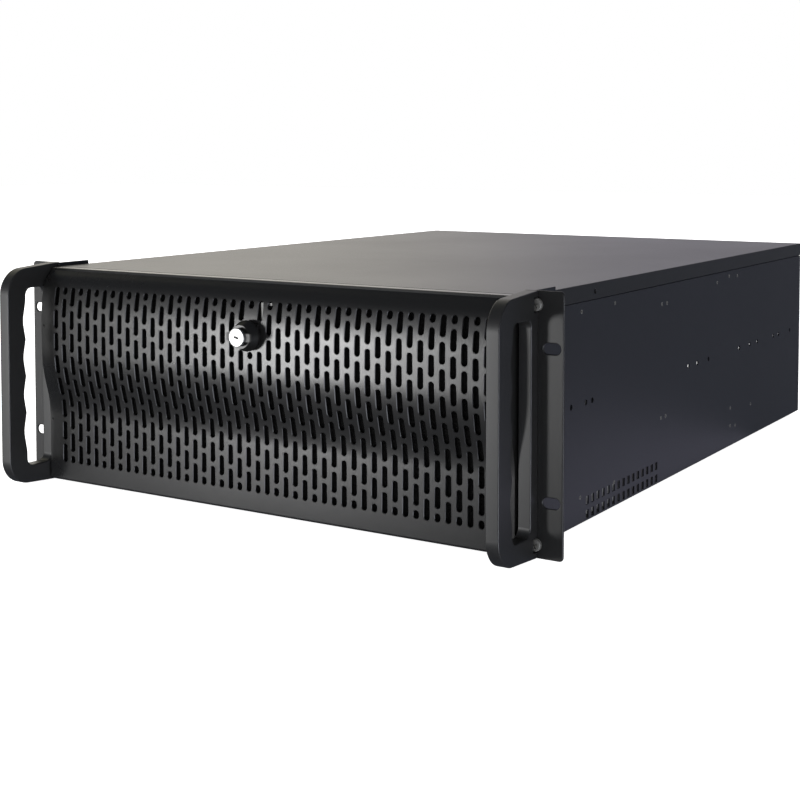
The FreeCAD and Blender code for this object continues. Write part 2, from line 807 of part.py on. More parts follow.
def main():
    os.makedirs("parts", exist_ok=True)
    export("chassis_tray", chassis_tray())
    export("top_cover", top_cover())
    export("cover_thumbscrews", cover_thumbscrews())
    export_pair("ear", rack_ear())
    export_pair("ear_angle", ear_angle())
    export_pair("handle", handle())
    export("front_door", front_door())
    export_pair("hinge_lug", hinge_lug())
    export("dust_filter", dust_filter())
    export("filter_frame", filter_frame())
    export("lock_body", lock_body())
    export("lock_clip", lock_clip())
    export("lock_plug", lock_plug())
    export("lock_cam", lock_cam())
    export("cam_bolt", cam_bolt())
    export("front_panel", front_panel())
    for number, z in enumerate(bay_heights(), 1):
        export("bay_cover_%d" % number, bay_cover(bay_width / 2, z, bay_height))
    export("slim_bay_cover", bay_cover(slim_bay_width / 2, slim_bay_bottom, slim_bay_height))
    export("drive_cage", drive_cage())
    export("fan_bracket", fan_bracket())
    export("power_button", push_button(power_width, power_height))
    export("reset_button", push_button(reset_width, reset_height))
    export("lamp_lenses", lamp_lenses())
    export("front_ports", front_ports())
    export("control_bracket", control_bracket())
    export("rear_panel", rear_panel())
    for number, x in enumerate(card_places(), 1):
        export("card_cover_%d" % number, card_cover(x))
    export("cross_brace", cross_brace())
    export("board_standoffs", board_standoffs())
    export("psu_rail", psu_rail())


main()
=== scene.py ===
import json
import math
import bpy
from mathutils import Matrix, Vector

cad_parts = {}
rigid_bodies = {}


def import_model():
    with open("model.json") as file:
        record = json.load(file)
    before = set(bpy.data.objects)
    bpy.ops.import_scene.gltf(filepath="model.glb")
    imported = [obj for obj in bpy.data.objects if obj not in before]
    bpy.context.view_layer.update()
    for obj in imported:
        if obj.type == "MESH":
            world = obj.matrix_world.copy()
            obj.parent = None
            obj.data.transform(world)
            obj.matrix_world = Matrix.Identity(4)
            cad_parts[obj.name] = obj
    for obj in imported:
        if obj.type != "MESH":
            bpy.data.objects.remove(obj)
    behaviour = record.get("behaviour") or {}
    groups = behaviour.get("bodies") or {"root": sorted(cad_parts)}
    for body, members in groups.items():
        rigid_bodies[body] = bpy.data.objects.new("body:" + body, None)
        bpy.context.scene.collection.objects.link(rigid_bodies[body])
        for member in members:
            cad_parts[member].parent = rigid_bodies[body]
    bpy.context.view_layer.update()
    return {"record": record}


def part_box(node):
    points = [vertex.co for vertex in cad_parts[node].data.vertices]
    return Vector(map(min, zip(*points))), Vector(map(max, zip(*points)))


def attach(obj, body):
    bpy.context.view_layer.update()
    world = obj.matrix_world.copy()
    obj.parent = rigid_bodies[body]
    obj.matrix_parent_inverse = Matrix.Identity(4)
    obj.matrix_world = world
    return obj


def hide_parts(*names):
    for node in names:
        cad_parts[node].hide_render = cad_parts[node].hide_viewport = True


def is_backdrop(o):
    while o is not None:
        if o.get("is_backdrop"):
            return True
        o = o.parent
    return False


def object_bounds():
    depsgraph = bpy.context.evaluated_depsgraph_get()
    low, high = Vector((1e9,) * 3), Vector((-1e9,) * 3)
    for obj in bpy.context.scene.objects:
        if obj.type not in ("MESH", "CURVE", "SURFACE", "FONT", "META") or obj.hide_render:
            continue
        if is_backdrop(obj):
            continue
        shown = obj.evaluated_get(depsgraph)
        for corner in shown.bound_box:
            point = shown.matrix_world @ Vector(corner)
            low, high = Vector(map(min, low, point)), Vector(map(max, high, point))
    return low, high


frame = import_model()
mm = 0.001
ops = bpy.ops


# ---- small helpers for picking, cutting and finishing

def deselectAll():
    if bpy.context.object and bpy.context.object.mode != "OBJECT":
        ops.object.mode_set(mode="OBJECT")
    ops.object.select_all(action="DESELECT")


def makeActive(piece):
    deselectAll()
    piece.select_set(True)
    bpy.context.view_layer.objects.active = piece


def pickVerts(piece, test):
    # leaves edit mode open with the chosen corners selected
    makeActive(piece)
    ops.object.mode_set(mode="EDIT")
    ops.mesh.select_mode(type="VERT")
    ops.mesh.select_all(action="DESELECT")
    ops.object.mode_set(mode="OBJECT")
    for v in piece.data.vertices:
        v.select = test(v.co)
    ops.object.mode_set(mode="EDIT")


def pickEdges(piece, test):
    makeActive(piece)
    ops.object.mode_set(mode="EDIT")
    ops.mesh.select_mode(type="EDGE")
    ops.mesh.select_all(action="DESELECT")
    ops.object.mode_set(mode="OBJECT")
    verts = piece.data.vertices
    for e in piece.data.edges:
        a, b = verts[e.vertices[0]].co, verts[e.vertices[1]].co
        e.select = test(a, b)
    ops.object.mode_set(mode="EDIT")


def addBlock(name, x0, x1, y0, y1, z0, z1):
    deselectAll()
    ops.mesh.primitive_cube_add(size=1, location=((x0 + x1) / 2, (y0 + y1) / 2, (z0 + z1) / 2))
    piece = bpy.context.object
    piece.name = name
    piece.scale = (x1 - x0, y1 - y0, z1 - z0)
    ops.object.transform_apply(location=True, rotation=True, scale=True)
    return piece


def addRod(name, radius, x, y0, y1, z, sides=32):
    # a rod along Y
    deselectAll()
    ops.mesh.primitive_cylinder_add(vertices=sides, radius=radius, depth=y1 - y0,
                                    location=(x, (y0 + y1) / 2, z), rotation=(math.pi / 2, 0, 0))
    piece = bpy.context.object
    piece.name = name
    ops.object.transform_apply(location=True, rotation=True, scale=True)
    return piece


def addRodX(name, radius, x0, x1, y, z, sides=24):
    deselectAll()
    ops.mesh.primitive_cylinder_add(vertices=sides, radius=radius, depth=x1 - x0,
                                    location=((x0 + x1) / 2, y, z), rotation=(0, math.pi / 2, 0))
    piece = bpy.context.object
    piece.name = name
    ops.object.transform_apply(location=True, rotation=True, scale=True)
    return piece


def copyOf(piece, name, move=(0, 0, 0)):
    twin = bpy.data.objects.new(name, piece.data.copy())
    bpy.context.scene.collection.objects.link(twin)
    twin.data.transform(Matrix.Translation(move))
    return twin


def joinAll(pieces, name):
    deselectAll()
    for p in pieces:
        p.select_set(True)
    bpy.context.view_layer.objects.active = pieces[0]
    if len(pieces) > 1:
        ops.object.join()
    whole = bpy.context.object
    whole.name = name
    return whole


def applied(piece, modifier):
    makeActive(piece)
    ops.object.modifier_apply(modifier=modifier.name)


def addTo(piece, other, solver="EXACT"):
    union = piece.modifiers.new("union", "BOOLEAN")
    union.operation = "UNION"
    union.solver = solver
    union.object = other
    applied(piece, union)
    bpy.data.objects.remove(other, do_unlink=True)
    return piece


def turned(name, profile, x, z, sides=48):
    # a lathe shape about a line along Y: its profile is (radius, y) from back to front
    radius, y = profile[0]
    deselectAll()
    ops.mesh.primitive_circle_add(vertices=sides, radius=radius, fill_type="NGON", location=(x, y, z),
                                  rotation=(math.pi / 2, 0, 0))
    piece = bpy.context.object
    piece.name = name
    ops.object.transform_apply(location=True, rotation=True, scale=True)
    ops.object.mode_set(mode="EDIT")
    ops.mesh.select_all(action="SELECT")
    for nextRadius, nextY in profile[1:]:
        grow = nextRadius / radius
        ops.mesh.extrude_region_move(TRANSFORM_OT_translate={"value": (0, nextY - y, 0)})
        ops.transform.resize(value=(grow, 1, grow), center_override=(x, nextY, z))
        radius, y = nextRadius, nextY
    ops.mesh.select_all(action="SELECT")
    ops.mesh.normals_make_consistent(inside=False)
    ops.object.mode_set(mode="OBJECT")
    return piece


def cutWith(piece, cutter, solver="MANIFOLD"):
    cut = piece.modifiers.new("cut", "BOOLEAN")
    cut.operation = "DIFFERENCE"
    cut.solver = solver
    cut.object = cutter
    applied(piece, cut)
    bpy.data.objects.remove(cutter, do_unlink=True)
    return piece


def bevelled(piece, width, segments=2, angle=35, clamp=True):
    bevel = piece.modifiers.new("bevel", "BEVEL")
    bevel.width = width
    bevel.segments = segments
    bevel.limit_method = "ANGLE"
    bevel.angle_limit = math.radians(angle)
    bevel.use_clamp_overlap = clamp
    bevel.loop_slide = False
    applied(piece, bevel)
    return piece


def smoothed(piece, angle=35):
    # broad flats keep their own direction, so a soft edge never shades them
    makeActive(piece)
    ops.object.shade_smooth_by_angle(angle=math.radians(angle))
    even = piece.modifiers.new("even", "WEIGHTED_NORMAL")
    even.keep_sharp = True
    even.weight = 100
    applied(piece, even)
    return piece


def mirroredTwin(piece, name):
    twin = bpy.data.objects.new(name, piece.data.copy())
    bpy.context.scene.collection.objects.link(twin)
    makeActive(twin)
    ops.object.mode_set(mode="EDIT")
    ops.mesh.select_all(action="SELECT")
    ops.transform.resize(value=(-1, 1, 1), center_override=(0, 0, 0))
    ops.mesh.flip_normals()
    ops.object.mode_set(mode="OBJECT")
    return twin


def sheetCopy(node, name):
    # the CAD sheet as clean faces, ready to be drilled and softened at its edges
    piece = bpy.data.objects.new(name, bpy.data.objects[node].data.copy())
    bpy.context.scene.collection.objects.link(piece)
    piece.data.materials.clear()
    makeActive(piece)
    ops.object.mode_set(mode="EDIT")
    ops.mesh.select_all(action="SELECT")
    ops.mesh.remove_doubles(threshold=0.00001)
    ops.mesh.dissolve_limited(angle_limit=math.radians(1))
    ops.object.mode_set(mode="OBJECT")
    return piece


def finished(piece, body, material, slotName, *nodes):
    piece.data.materials.clear()
    piece.data.materials.append(material)
    if nodes:
        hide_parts(*nodes)
    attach(piece, body)
    return piece


# ---- finishes

def coatMaterial(name, base, rough, grain, bump, tint=(1, 1, 1), mottle=0.05, gloss=1.5):
    mat = bpy.data.materials.new(name)
    mat.use_nodes = True
    nodes, links = mat.node_tree.nodes, mat.node_tree.links
    shader = nodes["Principled BSDF"]
    shader.inputs["Metallic"].default_value = 0
    shader.inputs["IOR"].default_value = gloss
    place = nodes.new("ShaderNodeTexCoord")
    fine = nodes.new("ShaderNodeTexNoise")
    fine.inputs["Scale"].default_value = grain
    fine.inputs["Detail"].default_value = 3
    links.new(place.outputs["Object"], fine.inputs["Vector"])
    broad = nodes.new("ShaderNodeTexNoise")
    broad.inputs["Scale"].default_value = 7
    broad.inputs["Detail"].default_value = 4
    links.new(place.outputs["Object"], broad.inputs["Vector"])
    colour = nodes.new("ShaderNodeMapRange")
    colour.inputs["To Min"].default_value = base * (1 - mottle)
    colour.inputs["To Max"].default_value = base * (1 + mottle)
    links.new(fine.outputs["Fac"], colour.inputs["Value"])
    mix = nodes.new("ShaderNodeCombineColor")
    for i, channel in enumerate(("Red", "Green", "Blue")):
        scale = nodes.new("ShaderNodeMath")
        scale.operation = "MULTIPLY"
        scale.inputs[1].default_value = tint[i]
        links.new(colour.outputs["Result"], scale.inputs[0])
        links.new(scale.outputs["Value"], mix.inputs[channel])
    links.new(mix.outputs["Color"], shader.inputs["Base Color"])
    sheen = nodes.new("ShaderNodeMapRange")
    sheen.inputs["To Min"].default_value = rough - 0.04
    sheen.inputs["To Max"].default_value = rough + 0.04
    links.new(broad.outputs["Fac"], sheen.inputs["Value"])
    links.new(sheen.outputs["Result"], shader.inputs["Roughness"])
    relief = nodes.new("ShaderNodeBump")
    relief.inputs["Strength"].default_value = bump
    relief.inputs["Distance"].default_value = 0.0002
    links.new(fine.outputs["Fac"], relief.inputs["Height"])
    links.new(relief.outputs["Normal"], shader.inputs["Normal"])
    return mat


def metalMaterial(name, colour, rough, streak=(1, 1, 1), scale=300, contrast=0.12, metallic=1):
    mat = bpy.data.materials.new(name)
    mat.use_nodes = True
    nodes, links = mat.node_tree.nodes, mat.node_tree.links
    shader = nodes["Principled BSDF"]
    place = nodes.new("ShaderNodeTexCoord")
    stretch = nodes.new("ShaderNodeMapping")
    stretch.inputs["Scale"].default_value = streak
    links.new(place.outputs["Object"], stretch.inputs["Vector"])
    grain = nodes.new("ShaderNodeTexNoise")
    grain.inputs["Scale"].default_value = scale
    grain.inputs["Detail"].default_value = 4
    links.new(stretch.outputs["Vector"], grain.inputs["Vector"])
    ramp = nodes.new("ShaderNodeValToRGB")
    ramp.color_ramp.elements[0].position = 0.3
    ramp.color_ramp.elements[1].position = 0.7
    dark = [c * (1 - contrast) for c in colour]
    ramp.color_ramp.elements[0].color = (*dark, 1)
    ramp.color_ramp.elements[1].color = (*colour, 1)
    links.new(grain.outputs["Fac"], ramp.inputs["Fac"])
    links.new(ramp.outputs["Color"], shader.inputs["Base Color"])
    polish = nodes.new("ShaderNodeMapRange")
    polish.inputs["To Min"].default_value = rough * 0.8
    polish.inputs["To Max"].default_value = rough * 1.2
    links.new(grain.outputs["Fac"], polish.inputs["Value"])
    links.new(polish.outputs["Result"], shader.inputs["Roughness"])
    shader.inputs["Metallic"].default_value = metallic
    return mat


def foamMaterial(name, colour):
    mat = bpy.data.materials.new(name)
    mat.use_nodes = True
    nodes, links = mat.node_tree.nodes, mat.node_tree.links
    shader = nodes["Principled BSDF"]
    shader.inputs["Roughness"].default_value = 0.95
    shader.inputs["Specular IOR Level"].default_value = 0.1
    place = nodes.new("ShaderNodeTexCoord")
    cells = nodes.new("ShaderNodeTexVoronoi")
    cells.inputs["Scale"].default_value = 900
    links.new(place.outputs["Object"], cells.inputs["Vector"])
    ramp = nodes.new("ShaderNodeValToRGB")
    ramp.color_ramp.elements[0].color = (0, 0, 0, 1)
    ramp.color_ramp.elements[1].color = (*colour, 1)
    links.new(cells.outputs["Distance"], ramp.inputs["Fac"])
    links.new(ramp.outputs["Color"], shader.inputs["Base Color"])
    relief = nodes.new("ShaderNodeBump")
    relief.inputs["Strength"].default_value = 0.8
    relief.inputs["Distance"].default_value = 0.0006
    links.new(cells.outputs["Distance"], relief.inputs["Height"])
    links.new(relief.outputs["Normal"], shader.inputs["Normal"])
    return mat


satinBlack = coatMaterial("satinBlackCoat", 0.008, 0.38, 2600, 0.25)
doorBlack = coatMaterial("doorBlackCoat", 0.007, 0.28, 2600, 0.2)
# painted reflection: the blue tint on this copy of the black coat stands in for the dim blue room mirrored in the
# walls; the coat itself is the same black as the cover
wallBlackBlueReflection = coatMaterial("wallBlackCoat", 0.009, 0.42, 2600, 0.25, tint=(0.9, 0.95, 1.25))
castBlack = coatMaterial("castBlackCoat", 0.008, 0.42, 1800, 0.2, gloss=1.6)
mouldedBlack = coatMaterial("mouldedBlack", 0.02, 0.55, 900, 0.3)
collarBlack = coatMaterial("collarBlack", 0.006, 0.36, 900, 0.05)
wingGrey = coatMaterial("wingGrey", 0.05, 0.5, 1500, 0.15)
lensClear = coatMaterial("lensMilky", 0.6, 0.2, 500, 0.05)
zincSheet = metalMaterial("zincSheet", (0.5, 0.51, 0.52), 0.38, scale=60, metallic=0.5)
plainSteel = metalMaterial("plainSteel", (0.5, 0.5, 0.49), 0.3, scale=400, metallic=0.5)
nickelSatin = metalMaterial("nickelSatin", (0.5, 0.5, 0.49), 0.45, scale=500, contrast=0.05)
turnedBrass = metalMaterial("turnedBrass", (0.74, 0.57, 0.27), 0.3, scale=400)
filterFoam = foamMaterial("filterFoam", (0.006, 0.006, 0.006))
dullZinc = metalMaterial("dullZinc", (0.15, 0.15, 0.145), 0.5, scale=500, metallic=0.4)
slotFinish = {"coat": satinBlack, "handle_coat": castBlack, "zinc": zincSheet, "steel": plainSteel,
              "dark_metal": collarBlack, "lock_metal": nickelSatin, "foam": filterFoam,
              "plastic": mouldedBlack, "lens": lensClear, "brass": turnedBrass}


def paintCarried():
    for entry in frame["record"]["subparts"]:
        node = bpy.data.objects[entry["node"]]
        node.data.materials.clear()
        node.data.materials.append(slotFinish[entry["material_slot"]])
    print("carried nodes painted")


paintCarried()

# ---- front door

door = {
    "lowerDepth": 11.4 * mm, "bulgeDepth": 20.0 * mm, "stepHeight": 54 * mm, "crownHeight": 132 * mm,
    "waveAngle": 15, "lowerRadius": 75 * mm, "upperRadius": 110 * mm,
    "crownRadius": 135 * mm, "crownAngle": 11, "browRadius": 20 * mm, "browAngle": 36, "drop": 1.3 * mm,
    "sheet": 1.2 * mm, "corner": 2.0 * mm,
    "columns": 47, "pitch": 8.5 * mm, "rowPitch": 18.2 * mm, "slotWidth": 4.5 * mm, "slotLength": 14.8 * mm,
    "shortest": 4.6 * mm, "fieldBottom": 17.0 * mm, "fieldHeight": 142.2 * mm, "lockClear": 12.3 * mm,
    "slotRim": 0.3 * mm, "flare": 1.0 * mm, "softEdge": 0.3 * mm,
    "dimples": (51 * mm, 127.8 * mm), "dimpleX": 208.5 * mm, "dimpleRadius": 1.1 * mm, "dimpleDepth": 0.5 * mm,
    "trim": 1.8 * mm, "trimHeight": 1.5 * mm, "barrelHole": 8.1 * mm, "pinHole": 1.56 * mm, "pinBack": 4 * mm,
    "notchDepth": 8 * mm, "notchHeight": 1.9 * mm, "notchPlay": 0.02 * mm,
}
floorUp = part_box("right_ear")[0].z   # heights in the settings count from the ears' lower edge
lockLow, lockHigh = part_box("lock_body")
lockZ = (lockLow.z + lockHigh.z) / 2


def wavePath(inset):
    # (y, z) points up the door's outside, or inset behind it, with heights above the ears' lower edge
    low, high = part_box("front_door")
    bottom, top = low.z - floorUp - door["drop"] + inset, high.z - floorUp - inset
    points = []
    heading = 0
    y, z = inset - door["lowerDepth"], 0
    corner = max(door["corner"] - inset, 0.3 * mm)
    for i in range(5):
        turn = math.radians(90 * (1 - i / 4))
        points.append((y + corner * (1 - math.cos(turn)), bottom + corner * (1 - math.sin(turn))))
    z = door["stepHeight"]
    points.append((y, z))

    def bend(radius, degrees, steps):
        nonlocal y, z, heading
        for _ in range(steps):
            after = heading + math.radians(degrees / steps)
            side = math.copysign(radius, degrees)
            y += side * (math.cos(after) - math.cos(heading))
            z += side * (math.sin(after) - math.sin(heading))
            heading = after
            points.append((y, z))

    slope = math.radians(door["waveAngle"])
    curves = (door["lowerRadius"] + door["upperRadius"]) * (1 - math.cos(slope))
    bend(door["lowerRadius"], door["waveAngle"], 10)
    length = (door["bulgeDepth"] - door["lowerDepth"] - curves) / math.sin(slope)
    y -= length * math.sin(heading)
    z += length * math.cos(heading)
    points.append((y, z))
    bend(door["upperRadius"], -door["waveAngle"], 12)
    points.append((y, door["crownHeight"]))
    z = door["crownHeight"]
    bend(door["crownRadius"], -door["crownAngle"], 10)
    bend(door["browRadius"], -door["browAngle"], 8)
    lastY, lastZ, lean = y, z, -heading
    rise = top - corner - lastZ
    y = lastY + rise * math.tan(lean)
    points.append((y, top - corner))
    for i in range(1, 5):
        turn = lean + (math.pi / 2 - lean) * i / 4
        points.append((y + corner * (math.cos(lean) - math.cos(turn)), top - corner * (1 - math.sin(turn))))
    return points


def waveSolid(name, inset, halfWidth, backY):
    # the first strip of sheet is a plane, and its upper edge is drawn on up the wave step by step
    points = [(y, z + floorUp) for y, z in wavePath(inset)]
    (y0, z0), (y1, z1) = points[:2]
    deselectAll()
    ops.mesh.primitive_plane_add(size=1)
    piece = bpy.context.object
    piece.name = name
    for v in piece.data.vertices:
        upper = v.co.y > 0
        v.co = (math.copysign(halfWidth, v.co.x), y1 if upper else y0, z1 if upper else z0)
    pickVerts(piece, lambda co: co.z > (z0 + z1) / 2)
    ops.mesh.select_mode(type="EDGE")
    for (ya, za), (yb, zb) in zip(points[1:], points[2:]):
        ops.mesh.extrude_edges_move(TRANSFORM_OT_translate={"value": (0, yb - ya, zb - za)})
    # the whole skin is drawn back and flattened, so the door starts as a closed solid
    ops.mesh.select_all(action="SELECT")
    ops.mesh.extrude_region_move(TRANSFORM_OT_translate={"value": (0, 0, 0)})
    ops.transform.resize(value=(1, 0, 1), center_override=(0, backY, 0))
    ops.mesh.select_all(action="SELECT")
    ops.mesh.normals_make_consistent(inside=False)
    ops.object.mode_set(mode="OBJECT")
    return piece


def slotPlaces():
    places = []
    bottom, top = door["fieldBottom"], door["fieldBottom"] + door["fieldHeight"]
    lockHeight = lockZ - floorUp
    for column in range(door["columns"]):
        x = (column - (door["columns"] - 1) / 2) * door["pitch"]
        keep = math.sqrt(max(door["lockClear"] ** 2 - x ** 2, 0))
        centre = bottom + door["slotLength"] / 2 - (column % 2) * door["rowPitch"] / 2
        while centre - door["slotLength"] / 2 < top - door["shortest"]:
            low = max(centre - door["slotLength"] / 2, bottom)
            high = min(centre + door["slotLength"] / 2, top)
            if keep and low < lockHeight + keep and high > lockHeight - keep:
                above, below = high - (lockHeight + keep), (lockHeight - keep) - low
                low = lockHeight + keep if above > below else low
                high = high if above > below else lockHeight - keep
            if high - low > door["shortest"]:
                places.append((x, low + floorUp, high + floorUp))
            centre += door["rowPitch"]
    return places


def waveFront(points, z):
    # how far forward the door's outside stands at a height
    for (ya, za), (yb, zb) in zip(points, points[1:]):
        if za <= z - floorUp <= zb:
            return ya + (yb - ya) * (z - floorUp - za) / max(zb - za, 1e-9)
    return points[-1][0]


def slotCutters():
    # one round-ended punch with a flared mouth, copied to every slot and drawn out to that slot's length
    radius, rim = door["slotWidth"] / 2, door["slotRim"]
    mouth = radius + rim + door["flare"]
    punch = turned("punch", ((radius, -4 * mm), (radius, -10 * mm), (mouth, -30 * mm)), 0, 0, 16)
    outside = wavePath(0)
    cutters = []
    for i, (x, low, high) in enumerate(slotPlaces()):
        cutter = copyOf(punch, "punch.%d" % i)
        for v in cutter.data.vertices:
            v.co.x += x
            v.co.z += high - radius if v.co.z > 0.0001 * mm else low + radius
            if v.co.y < -8 * mm:
                v.co.y = waveFront(outside, v.co.z) + (rim if v.co.y > -20 * mm else -door["flare"])
        cutters.append(cutter)
    bpy.data.objects.remove(punch, do_unlink=True)
    return joinAll(cutters, "punches")


def makeDoor():
    low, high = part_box("front_door")
    shell = waveSolid("doorShell", 0, high.x, 0)
    hollow = waveSolid("doorHollow", door["sheet"], high.x - door["sheet"], 2 * mm)
    cutWith(shell, hollow)
    cutWith(shell, slotCutters())
    for side in (-1, 1):
        for height, y in zip(door["dimples"], (door["lowerDepth"], door["bulgeDepth"])):
            cutWith(shell, addRod("dimple", door["dimpleRadius"], side * door["dimpleX"], -y - mm,
                                  -y + door["dimpleDepth"], height + floorUp, 16))
    half = door["barrelHole"]
    cutWith(shell, addBlock("barrelHole", -half, half, -25 * mm, -10 * mm, lockZ - half, lockZ + half))
    # the lower flange stops short of the panel, so it clears the panel as the door swings down
    cutWith(shell, addBlock("backTrim", -high.x - mm, high.x + mm, -door["trim"], 3 * mm,
                            low.z - 3 * mm, low.z + door["trimHeight"]))
    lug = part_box("right_hinge_lug")
    for side in (-1, 1):
        x0, x1 = sorted((side * (lug[0].x - mm), side * (high.x - door["sheet"] - door["notchPlay"])))
        cutWith(shell, addBlock("hingeNotch", x0, x1, -door["notchDepth"], 3 * mm,
                                low.z - 3 * mm, low.z + door["notchHeight"]))
        x0, x1 = sorted((side * (high.x - door["sheet"] - mm), side * (high.x + mm)))
        cutWith(shell, addRodX("pinHole", door["pinHole"], x0, x1, -door["pinBack"], (lug[0].z + lug[1].z) / 2))
    bevelled(shell, door["softEdge"], 1, 50)
    smoothed(shell, 30)
    finished(shell, "door", doorBlack, "coat", "front_door")
    print("door made", len(shell.data.polygons))


makeDoor()

# ---- lock

lock = {"neck": 9.2 * mm, "rim": 11.3 * mm, "rimFront": 4.6 * mm, "rimLength": 1.6 * mm, "nose": 8.6 * mm,
        "faceRadius": 6.8 * mm, "faceLength": 2 * mm, "wingHalf": 10.7 * mm, "wingHeight": 6.2 * mm,
        "keyway": (4.4 * mm, 1.7 * mm), "keyDepth": 1.2 * mm, "keyTilt": 14, "barrel": 8 * mm, "bore": 4.65 * mm,
        "shaft": 4.6 * mm, "tail": 2.5 * mm, "wingLength": 2 * mm, "wingCorner": 1.2 * mm,
        "clipBack": 15.9 * mm, "clipSheet": 0.8 * mm,
        # x0, x1, z0, z1 of the steel clip's arms, in mm about the lock's own line
        "clipArms": ((7.4, 9.4, -6, 24), (8, 17.4, 22, 24), (-17.8, -7, -7.4, -6), (-17.8, -16.4, -19.5, -6),
                     (7, 17.8, -9.4, -8), (16.4, 17.8, -22, -8))}


def makeLock():
    seat, nose = -door["bulgeDepth"], lockLow.y
    rimY = seat - lock["rimFront"]
    collar = turned("lockCollar", ((lock["neck"], seat + 0.2 * mm), (lock["neck"], seat - mm),
                                   (lock["rim"], rimY + lock["rimLength"]), (lock["rim"], rimY),
                                   (lock["nose"], nose)), 0, lockZ, 64)
    half = lock["barrel"]
    addTo(collar, addBlock("barrel", -half, half, seat - mm, lockHigh.y, lockZ - half, lockZ + half))
    cutWith(collar, addRod("bore", lock["bore"], 0, nose - mm, lockHigh.y + mm, lockZ, 48), "EXACT")
    bevelled(collar, 0.8 * mm, 4, 20)
    smoothed(collar, 40)
    finished(collar, "door", collarBlack, "dark_metal", "lock_body")

    plugLow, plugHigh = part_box("lock_plug")
    face = addRod("lockFace", lock["faceRadius"], 0, plugLow.y, plugLow.y + lock["faceLength"], lockZ, 64)
    bevelled(face, 0.5 * mm, 3, 60)
    width, height = lock["keyway"]
    key = addBlock("keyway", -width / 2, width / 2, plugLow.y - mm, plugLow.y + lock["keyDepth"],
                   -height / 2, height / 2)
    makeActive(key)
    ops.object.mode_set(mode="EDIT")
    ops.mesh.select_all(action="SELECT")
    ops.transform.rotate(value=math.radians(-lock["keyTilt"]), orient_axis="Y", center_override=(0, 0, 0))
    ops.transform.translate(value=(0, 0, lockZ))
    ops.object.mode_set(mode="OBJECT")
    # painted shade: a black block set 0.7 mm inside the keyway stands in for the dark depth of the keyway
    keywayShade = copyOf(key, "lockTumblers")
    for v in keywayShade.data.vertices:
        v.co.y = plugLow.y + (0.7 * mm if v.co.y < plugLow.y else lock["faceLength"])
    bevelled(keywayShade, 0.15 * mm, 1)
    finished(keywayShade, "lock", mouldedBlack, "lock_metal")
    cutWith(face, key, "EXACT")
    smoothed(face, 40)
    wingFront = plugLow.y + lock["faceLength"]
    wingBack = wingFront + lock["wingLength"]
    wings = addBlock("lockWings", -lock["wingHalf"], lock["wingHalf"], wingFront, wingBack,
                     lockZ - lock["wingHeight"] / 2, lockZ + lock["wingHeight"] / 2)
    pickEdges(wings, lambda a, b: abs(a.x - b.x) < 1e-6 and abs(a.z - b.z) < 1e-6)
    ops.mesh.bevel(offset=lock["wingCorner"], segments=4)
    ops.object.mode_set(mode="OBJECT")
    bevelled(wings, 0.3 * mm, 2)
    smoothed(wings, 40)
    shaft = addRod("lockShaft", lock["shaft"], 0, wingBack, lockHigh.y, lockZ, 48)
    half = lock["tail"]
    tail = addBlock("lockTail", -half, half, lockHigh.y, plugHigh.y, lockZ - half, lockZ + half)
    bevelled(tail, 0.3 * mm, 1)
    finished(wings, "lock", wingGrey, "lock_metal")
    plug = joinAll([face, shaft, tail], "lockPlug")
    finished(plug, "lock", nickelSatin, "lock_metal", "lock_plug")
    print("lock made")


def makeLockClip():
    # the spring clip that holds the barrel, glimpsed through the slots beside it
    arms = [addBlock("clipArm", x0 * mm, x1 * mm, -lock["clipBack"], lock["clipSheet"] - lock["clipBack"],
                     lockZ + z0 * mm, lockZ + z1 * mm)
            for x0, x1, z0, z1 in lock["clipArms"]]
    clip = arms[0]
    for arm in arms[1:]:
        addTo(clip, arm)
    clip.name = "lockClip"
    bevelled(clip, 0.2 * mm, 1)
    smoothed(clip)
    finished(clip, "door", dullZinc, "steel")
    print("lock clip made")


makeLock()
makeLockClip()

# ---- ring handles

handle = {"taper": 4, "corner": 19 * mm, "bar": 18.6 * mm,
          "root": 9.5 * mm, "foot": 16.2 * mm, "head": 18.4 * mm,
          "innerCorner": 6 * mm, "slim": 0.5 * mm,
          "grips": 4, "gripPitch": 29.4 * mm, "gripDepth": 3.2 * mm, "gripLength": 24 * mm,
          "screwInset": 9.2 * mm, "screwX": 221.6 * mm, "notch": 5 * mm, "notchDepth": 5.7 * mm,
          "edge": 1.7 * mm, "gripEdge": 0.4 * mm}


